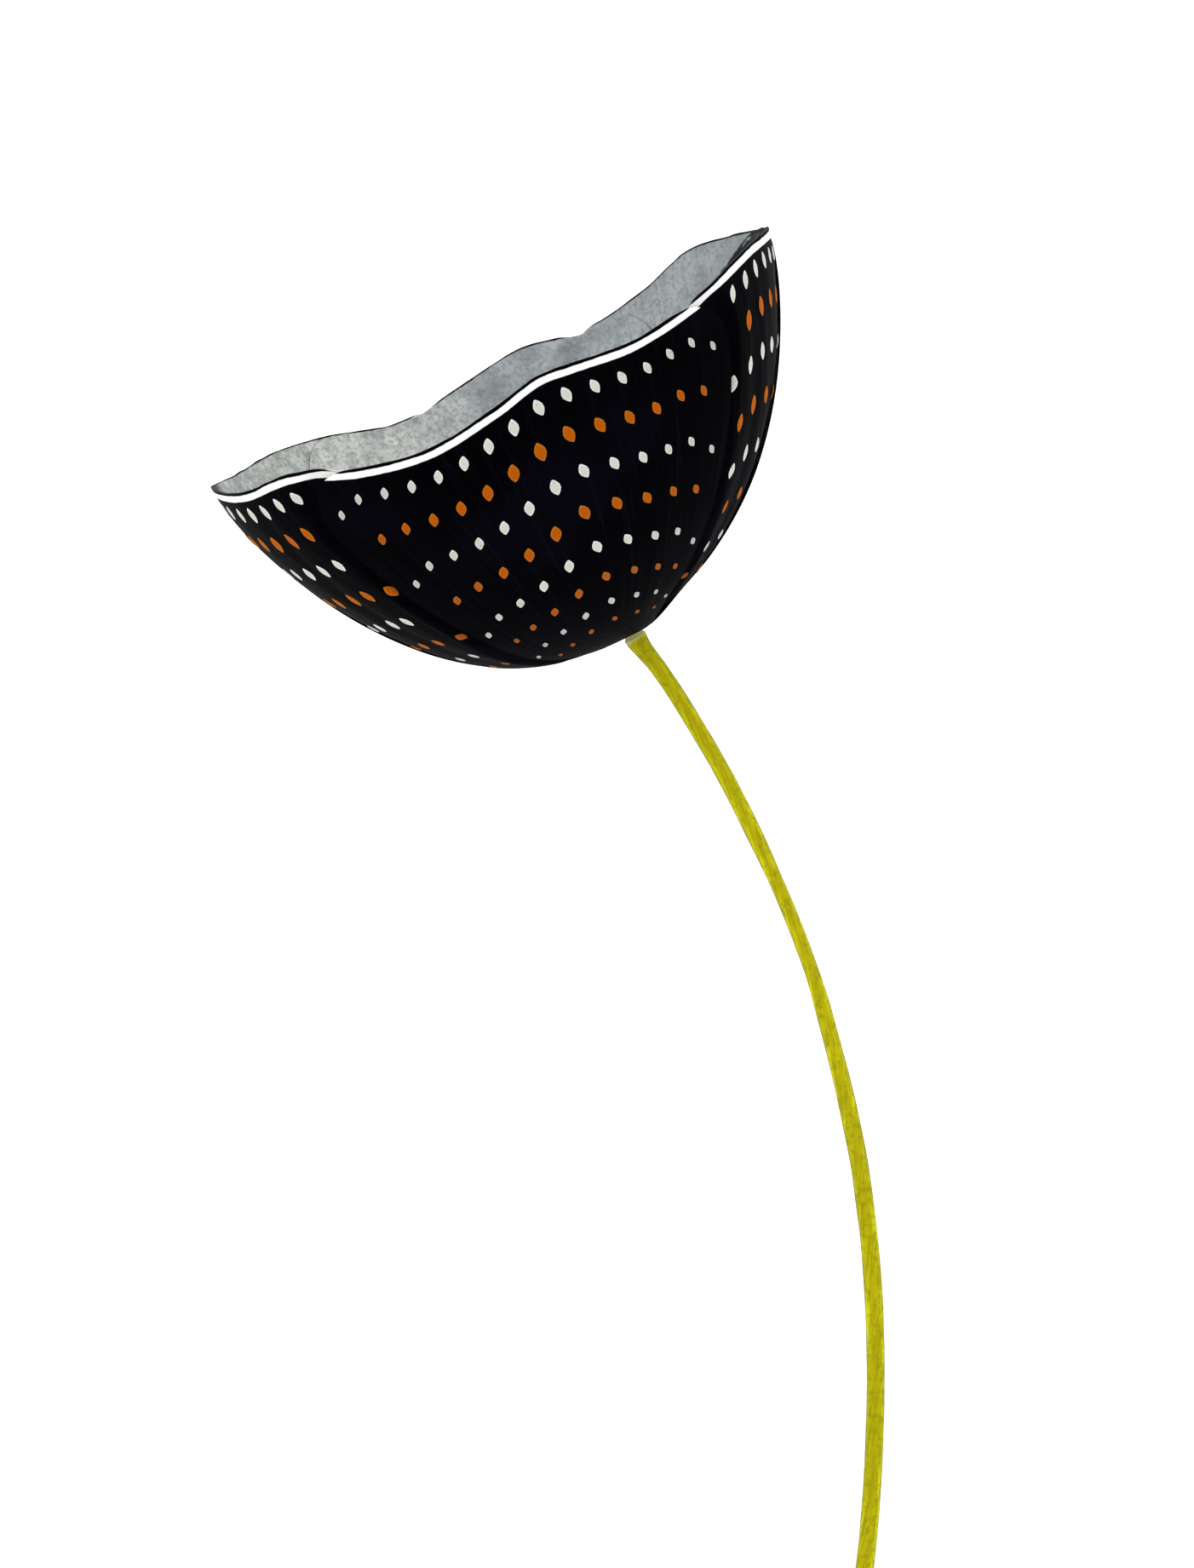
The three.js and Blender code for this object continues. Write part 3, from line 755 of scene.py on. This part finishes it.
def grow(source, tree, sizes):
    """Runs a tree on a source object, and keeps the result as the object's plain mesh."""
    modifier = source.modifiers.new("growth", "NODES")
    modifier.node_group = tree
    for item in tree.interface.items_tree:
        if item.in_out == "INPUT" and item.name in sizes:
            modifier[item.identifier] = sizes[item.name]
    source.update_tag()
    bpy.context.view_layer.update()
    graph = bpy.context.evaluated_depsgraph_get()
    mesh = bpy.data.meshes.new_from_object(
        source.evaluated_get(graph), preserve_all_data_layers=True, depsgraph=graph
    )
    source.modifiers.remove(modifier)
    mesh.name = source.name
    source.data = mesh


def stem_tree():
    """A stem along a path that knows its radius at each point."""
    kinds = {"Sides": "Int", "Fibre Depth": "Float", "Material": "Material"}
    wire, given = new_tree("stem_along_path", kinds)
    path = wire.node("GeometryNodeMeshToCurve", {}, {"Mesh": given["Geometry"]})
    round_line = {"Resolution": given["Sides"], "Radius": 1.0}
    circle = wire.node("GeometryNodeCurvePrimitiveCircle", {}, round_line)
    tube = {"Curve": path, "Profile Curve": circle, "Scale": named(wire, "girth"), "Fill Caps": True}
    skin = wire.node("GeometryNodeCurveToMesh", {}, tube)
    normal = wire.node("GeometryNodeInputNormal")
    spoke = wire.node(
        "GeometryNodeStoreNamedAttribute",
        {"data_type": "FLOAT_VECTOR", "domain": "POINT"},
        {"Geometry": skin, "Name": "spoke", "Value": normal},
    )
    down = named(wire, "down")
    direction = named(wire, "spoke", "FLOAT_VECTOR")
    drawn = wire.node("ShaderNodeVectorMath", {"operation": "SCALE"}, {0: direction, "Scale": 2.6})
    shift = vector(down * 0.05, down * 0.02, down * 0.03)
    track = wire.node("ShaderNodeVectorMath", {"operation": "ADD"}, {0: drawn, 1: shift})
    swell = (noise(track, 1.4, 2) - 0.5) * given["Fibre Depth"] * ease(down, 3.0, 9.0)
    push = wire.node("ShaderNodeVectorMath", {"operation": "SCALE"}, {0: direction, "Scale": swell})
    moved = wire.node("GeometryNodeSetPosition", {}, {"Geometry": spoke, "Offset": push})
    place = wire.node("GeometryNodeInputPosition")
    x, y, z = (part_of(place, axis) for axis in range(3))
    resting = vector(x, y, wire.math("MAXIMUM", z, 0.0))
    laid = wire.node("GeometryNodeSetPosition", {}, {"Geometry": moved, "Position": resting})
    return end_tree(wire, laid, given["Material"])


def fleck_tree():
    """A small raised seed shape at each point, turned to the point's own directions."""
    wire, given = new_tree("flecks_on_petal", {"Sides": "Int", "Point": "Float", "Material": "Material"})
    ball = {"Segments": given["Sides"], "Rings": 7, "Radius": 1.0}
    seed = wire.node("GeometryNodeMeshUVSphere", {}, ball)
    place = wire.node("GeometryNodeInputPosition")
    x, y, z = (part_of(place, axis) for axis in range(3))
    crown = {"Geometry": seed, "Name": "crown", "Value": z}
    seed = wire.node("GeometryNodeStoreNamedAttribute", {"data_type": "FLOAT", "domain": "POINT"}, crown)
    slim = 1 - x * x * given["Point"]
    shape = vector(x, y * slim, wire.math("MAXIMUM", z, -0.4))
    seed = wire.node("GeometryNodeSetPosition", {}, {"Geometry": seed, "Position": shape})
    turn = wire.node(
        "FunctionNodeAxesToRotation",
        {"primary_axis": "Z", "secondary_axis": "X"},
        {0: named(wire, "outward", "FLOAT_VECTOR"), 1: named(wire, "lengthwise", "FLOAT_VECTOR")},
    )
    size = named(wire, "size", "FLOAT_VECTOR")
    spread = {"Points": given["Geometry"], "Instance": seed, "Rotation": turn, "Scale": size}
    return end_tree(wire, wire.node("GeometryNodeInstanceOnPoints", {}, spread), given["Material"])


def ring_tree():
    """Copies of one stamen round a ring, leaning outwards, each a little different."""
    kinds = {"Count": "Int", "Ring Radius": "Float", "Lean": "Float", "First": "Float", "Seed": "Int"}
    wire, given = new_tree("stamens_round_ring", {**kinds, "Material": "Material"})
    circle = {"Vertices": given["Count"], "Radius": given["Ring Radius"]}
    ring = wire.node("GeometryNodeMeshCircle", {}, circle)
    index = wire.node("GeometryNodeInputIndex")
    angle = index / given["Count"] * (2 * math.pi) + given["First"]
    points = wire.node("GeometryNodeMeshToPoints", {}, {"Mesh": ring})
    turned = wire.node(
        "ShaderNodeVectorRotate",
        {"rotation_type": "Z_AXIS"},
        {"Vector": wire.node("GeometryNodeInputPosition"), "Angle": given["First"]},
    )
    points = wire.node("GeometryNodeSetPosition", {}, {"Geometry": points, "Position": turned})
    limits = {2: -0.035, 3: 0.035, "Seed": given["Seed"]}
    sway = wire.node("FunctionNodeRandomValue", {"data_type": "FLOAT"}, limits, 1)
    rotation = vector(sway, given["Lean"] + sway, angle)
    spread = {"Points": points, "Instance": given["Geometry"], "Rotation": rotation}
    return end_tree(wire, wire.node("GeometryNodeInstanceOnPoints", {}, spread), given["Material"])


def grains_tree():
    """The source with tiny grains over those of its faces that are dusty."""
    kinds = {"Density": "Float", "Grain Radius": "Float", "Seed": "Int"}
    wire, given = new_tree("grains_over_surface", {**kinds, "Material": "Material"})
    scatter = {
        "Mesh": given["Geometry"],
        "Density": named(wire, "dusty") * given["Density"],
        "Seed": given["Seed"],
    }
    points = wire.node("GeometryNodeDistributePointsOnFaces", {}, scatter)
    ball = {"Radius": given["Grain Radius"], "Subdivisions": 1}
    grain = wire.node("GeometryNodeMeshIcoSphere", {}, ball)
    grains = wire.node("GeometryNodeInstanceOnPoints", {}, {"Points": points, "Instance": grain})
    both = wire.node("GeometryNodeJoinGeometry", {}, {"Geometry": given["Geometry"]})
    wire.tree.links.new(grains.socket, both.socket.node.inputs["Geometry"])
    return end_tree(wire, both, given["Material"])


# Each arc of flecks: share of the tepal's length at its midrib, how far the arc falls to the margins,
# millimetres between flecks, length of the middle ones, and whether they are amber.
FLECK_ARCS = [
    (0.915, 0.02, 5.0, 3.2, False),
    (0.815, 0.05, 5.5, 3.6, True),
    (0.715, 0.08, 5.2, 3.2, False),
    (0.615, 0.10, 5.6, 3.4, True),
    (0.515, 0.12, 5.2, 3.0, False),
    (0.420, 0.12, 5.2, 2.6, True),
    (0.330, 0.11, 4.8, 2.2, False),
    (0.250, 0.09, 4.6, 1.8, True),
]
FLECK_RIM_GAP = 2.6
FLECK_FLOOR_GAP = 3.0
FLECK_NEST_GAP = 3.0
# The share of the half width that an arc spans, and the share past which no fleck is set.
FLECK_SPREAD = 0.9
FLECK_LAST = 0.92
# How much shorter the outermost ones are, and how far they slant, in degrees.
FLECK_SHRINK = 0.42
FLECK_SLANT = 34
# Half a fleck's width as a share of its length, and how far it stands up.
FLECK_HALF_WIDTH = 0.29
FLECK_RISE = 0.17


def fleck_points(tepal):
    """Where the flecks of one tepal are, the ways they face and run, and their sizes and colours."""
    rows = []
    for number, (level, fall, spacing, length, amber) in enumerate(FLECK_ARCS):
        _, latitude, _ = tepal_spot(tepal, np.array(0.0), np.array(level))
        reach = FLECK_SPREAD * half_angle_at(tepal, level) * RIM_RADIUS * math.sin(latitude)
        count = max(1, round(float(2 * reach / spacing)))
        for place in range(count + 1):
            stagger = 0.5 if number % 2 else 0
            across = FLECK_SPREAD * (2 * (place + stagger) / count - 1)
            if abs(across) > FLECK_LAST:
                continue
            along = level - fall * across**2
            rows.append((across, along, length * (1 - FLECK_SHRINK * abs(across)), float(amber)))
    across, along, length, amber = np.array(rows).T
    angle, latitude, top = tepal_spot(tepal, across, along)
    point = to_metres(tepal_point(tepal, across, along, 0))
    ahead = to_metres(tepal_point(tepal, across, along + 0.01, 0))
    beside = to_metres(tepal_point(tepal, across + 0.01, along, 0))
    outward = np.cross(beside - point, ahead - point)
    outward /= np.linalg.norm(outward, axis=1, keepdims=True)
    run = ahead - point
    run /= np.linalg.norm(run, axis=1, keepdims=True)
    side = np.cross(outward, run)
    slant = (np.radians(FLECK_SLANT) * np.sign(across) * np.sqrt(np.abs(across)))[:, None]
    run = run * np.cos(slant) + side * np.sin(slant)
    rise = np.full_like(length, FLECK_RISE)
    size = np.stack([length / 2, length * FLECK_HALF_WIDTH, rise], axis=1) * MM
    shade = np.clip(0.9 - length / 3.0, 0, 0.6)
    keep = (top - bowl_point(angle, latitude)[:, 2] > FLECK_RIM_GAP) & (point[:, 2] > FLECK_FLOOR_GAP * MM)
    if not tepal.outer:
        keep &= distance_from_outer(angle, latitude) > FLECK_NEST_GAP
    values = {"outward": outward, "lengthwise": run, "size": size, "amber": amber, "shade": shade}
    return point[keep], {label: data[keep] for label, data in values.items()}


def smooth_path(points, steps):
    """A centripetal Catmull-Rom curve through points, with this many steps between each two."""
    ends = [2 * points[0] - points[1], *points, 2 * points[-1] - points[-2]]
    places = []
    for before, start, end, after in zip(ends, ends[1:], ends[2:], ends[3:]):
        first, middle, last = (
            math.sqrt(np.linalg.norm(b - a)) for a, b in ((before, start), (start, end), (end, after))
        )
        leave = (start - before) / first - (end - before) / (first + middle) + (end - start) / middle
        arrive = (end - start) / middle - (after - start) / (middle + last) + (after - end) / last
        for t in np.arange(steps) / steps:
            places.append(
                (2 * t**3 - 3 * t**2 + 1) * start
                + (t**3 - 2 * t**2 + t) * middle * leave
                + (3 * t**2 - 2 * t**3) * end
                + (t**3 - t**2) * middle * arrive
            )
    return np.array([*places, points[-1]])


def stem_path():
    """The stem's middle line from its tip between the claws down to its cut end."""
    base = np.array([0, 0, BLOOM_BASE[2]])
    points = [base + MOUTH * STEM_TOP, base - MOUTH]
    drop = BLOOM_BASE[2] - STEM_RADIUS
    slope = -math.sin(MOUTH_TILT) * STEM_LANDING
    run = 0
    previous = (0, 0)
    for x, y in STEM_RUN:
        run += math.hypot(x - previous[0], y - previous[1])
        previous = (x, y)
        share = min(1, run / STEM_LANDING)
        fall = drop * (2 * share**3 - 3 * share**2 + 1)
        tilt = slope * (share**3 - 2 * share**2 + share)
        points.append(np.array([x, y, STEM_RADIUS + fall + tilt]))
    path = smooth_path(points, 24) + np.array([BLOOM_BASE[0], BLOOM_BASE[1], 0])
    lengths = np.concatenate([[0], np.cumsum(np.linalg.norm(np.diff(path, axis=0), axis=1))])
    total = lengths[-1]
    upper = np.arange(0, STEM_FINE_REACH, STEM_FINE_STEP)
    middle = np.arange(STEM_FINE_REACH, total - STEM_STEP, STEM_STEP)
    down = np.concatenate([upper, middle, total - np.array(STEM_LAST_STEPS)])
    places = [np.interp(down, lengths, path[:, axis]) for axis in range(3)]
    return np.stack(places, axis=1), down, total


def stem_radius(down, total):
    radius = np.interp(down, *zip(*STEM_GIRTH))
    radius = lerp(STEM_CUT_RADIUS, radius, smoothstep((total - down) / total, 0, STEM_CUT_TAPER))
    return radius * lerp(0.88, 1, smoothstep(total - down, -0.05, 0.35))


def settle(piece, slot, *nodes):
    """Puts a piece on the only body, and hides the solids that it stands in for. Its slot is not used."""
    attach(piece, "root")
    if nodes:
        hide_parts(*nodes)


def make_bloom():
    materials = [petal_outside_finish(), petal_inside_finish()]
    for tepal in TEPALS:
        settle(make_tepal(tepal, materials), "petal", tepal.name)
    paint = fleck_finish()
    tree = fleck_tree()
    for tepal in TEPALS:
        points, values = fleck_points(tepal)
        seeds = make_object(f"{tepal.name}_flecks", points, [], values)
        grow(seeds, tree, {"Sides": 14, "Point": 0.55, "Material": paint})
        settle(seeds, "petal")


def make_stem():
    path, down, total = stem_path()
    cut = (down > total - 0.01).astype(float)
    values = {"girth": stem_radius(down, total) * MM, "down": down, "cut": cut}
    steps = [(i, i + 1) for i in range(len(down) - 1)]
    stem = make_object("stem", path * MM, [], values, edges=steps)
    sizes = {"Sides": STEM_SIDES, "Fibre Depth": FIBRE_DEPTH * MM}
    grow(stem, stem_tree(), {**sizes, "Material": stem_finish()})
    stem.data.set_sharp_from_angle(angle=SHARP_ANGLE)
    stem.name = "cut_stem"
    settle(stem, "stem", "stem")


def stamen_rows():
    """Height, radius and anther share of a stamen's rings, from its foot up."""
    wide, slim = FILAMENT_RADII
    heights = np.linspace(0, FILAMENT_TOP, 16)
    rows = [(height, lerp(wide, slim, height / STAMEN_RISE), 0.0) for height in heights]
    for level in np.sin(np.linspace(-math.pi / 2, math.pi / 2, 26)):
        radius = ANTHER_RADIUS * math.sqrt(max(0.004, 1 - level**4))
        rows.append((ANTHER_MIDDLE + ANTHER_HALF * level, radius, 1.0))
    return rows


def make_stamen_circle(material):
    """Six stamens alike but for their sway, with pollen on their anthers."""
    turn = full_turn(STAMEN_SIDES)
    groove = 1 - 0.3 * np.exp(-((np.abs(np.abs(turn - math.pi) - math.pi / 2) / 0.3) ** 2))
    points, rise, dusty = [], [], []
    for height, radius, anther in stamen_rows():
        reach = radius * np.where(anther, groove, 1)
        points += ring_points(reach, turn, height, ANTHER_SQUASH if anther else 1)
        rise += [min(1, height / STAMEN_RISE)] * STAMEN_SIDES
        dusty += [anther] * STAMEN_SIDES
    faces = ring_faces(len(points) // STAMEN_SIDES, STAMEN_SIDES)
    stamens = make_object("stamens", np.array(points) * MM, faces, {"rise": rise, "dusty": dusty})
    lean, first = math.radians(13), math.radians(30)
    circle = {"Count": 6, "Ring Radius": 3.0 * MM, "Lean": lean, "First": first, "Seed": 3}
    grow(stamens, ring_tree(), {**circle, "Material": material})
    pollen = {"Density": 7e6, "Grain Radius": 0.09 * MM, "Seed": 5}
    grow(stamens, grains_tree(), {**pollen, "Material": material})
    lift_into_bloom(stamens, (RING_BASE + RING_HEIGHT / 2) * MM)
    stamens.name = "stamen_circle"
    settle(stamens, "stamen", "stamens")


def make_stamen_ring(material):
    """The ring that the stamens' feet grow together in."""
    turn = full_turn(RING_SIDES)
    points = []
    for radius, height in RING_PROFILE:
        points += ring_points([radius] * RING_SIDES, turn, height)
    faces = []
    for row in range(len(RING_PROFILE)):
        low = row * RING_SIDES
        high = (row + 1) % len(RING_PROFILE) * RING_SIDES
        for side in range(RING_SIDES):
            after = (side + 1) % RING_SIDES
            faces.append((low + side, low + after, high + after, high + side))
    values = {"rise": [0.0] * len(points), "dusty": [0.0] * len(points)}
    ring = make_object("stamen_ring", np.array(points) * MM, faces, values, [material])
    lift_into_bloom(ring, RING_BASE * MM)
    settle(ring, "stamen", "stamens")


def lift_into_bloom(piece, height):
    """Moves a mesh that was made round +Z into the bloom, this far above its base."""
    mesh = piece.data
    points = np.empty(len(mesh.vertices) * 3, dtype=np.float32)
    mesh.vertices.foreach_get("co", points)
    local = points.reshape(-1, 3) / MM + np.array([0, 0, height / MM])
    mesh.vertices.foreach_set("co", to_metres(local).astype(np.float32).ravel())
    mesh.update()


def make_pistil():
    turn = full_turn(PISTIL_SIDES)
    heights, radii, lobes = np.array(PISTIL_ROWS).T
    neck, top = PISTIL_NECK, PISTIL_TOP
    rows = np.concatenate([np.linspace(0, neck, 40, endpoint=False), np.linspace(neck, top, 24)])
    kernel = np.ones(5) / 5
    smooth = []
    for data in (radii, lobes):
        padded = np.pad(np.interp(rows, heights, data), 2, "edge")
        smooth.append(np.convolve(padded, kernel, "valid"))
    points, rise, dusty = [], [], []
    for height, radius, lobed in zip(rows, *smooth):
        frill = 0.05 * smoothstep(height, 16.8, 18.2) * np.cos(24 * turn + height * 2)
        reach = radius * (1 + lobed * np.cos(3 * turn) + frill)
        points += ring_points(reach, turn, height)
        rise += [height / top] * PISTIL_SIDES
        dusty += [float(height > PISTIL_DUSTY)] * PISTIL_SIDES
    for share in (0.75, 0.45, 0.15):
        for r, t in zip(reach, turn):
            dip = 0.5 * (1 - share) - 0.25 * math.cos(3 * t) * share
            points.append((r * share * math.cos(t), r * share * math.sin(t), top - dip))
        rise += [1.0] * PISTIL_SIDES
        dusty += [1.0] * PISTIL_SIDES
    faces = ring_faces(len(points) // PISTIL_SIDES, PISTIL_SIDES)
    pistil = make_object("pistil", np.array(points) * MM, faces, {"rise": rise, "dusty": dusty})
    bumps = {"Density": 9e6, "Grain Radius": 0.1 * MM, "Seed": 9}
    grow(pistil, grains_tree(), {**bumps, "Material": pistil_finish()})
    lift_into_bloom(pistil, PISTIL_FOOT * MM)
    pistil.name = "seed_vessel"
    settle(pistil, "pistil", "pistil")


def make_lamps():
    for name, place, size, power in LAMPS:
        lamp = bpy.data.lights.new(name, "AREA")
        lamp.size = size
        lamp.energy = power
        light = bpy.data.objects.new(name, lamp)
        light.location = place
        aim = Vector(LAMP_TARGET) - Vector(place)
        light.rotation_euler = aim.to_track_quat("-Z", "Y").to_euler()
        bpy.context.collection.objects.link(light)


def make_stage():
    corners = np.array([(-1, -1, 0), (1, -1, 0), (1, 1, 0), (-1, 1, 0)]) * FLOOR_HALF
    corners = corners - np.array([0, 0, FLOOR_DROP])
    floor = make_object("floor", corners, [(0, 1, 2, 3)], {}, [floor_finish()])

    world = bpy.data.worlds.new("studio")
    world.use_nodes = True
    sky = world.node_tree.nodes["Background"].inputs
    sky["Color"].default_value = (1, 1, 1, 1)
    sky["Strength"].default_value = SKY_STRENGTH
    scene = bpy.context.scene
    scene.world = world
    make_lamps()

    lens = bpy.data.cameras.new("camera")
    lens.lens = LENS_LENGTH
    lens.sensor_width = SENSOR_WIDTH
    camera = bpy.data.objects.new("camera", lens)
    camera.location = (BLOOM_BASE + CAMERA_FROM_BLOOM) * MM
    bpy.context.collection.objects.link(camera)
    scene.camera = camera
    scene.view_settings.view_transform = "Standard"


make_stage()
make_bloom()
make_stem()
stamen_skin = stamen_finish()
make_stamen_circle(stamen_skin)
make_stamen_ring(stamen_skin)
make_pistil()
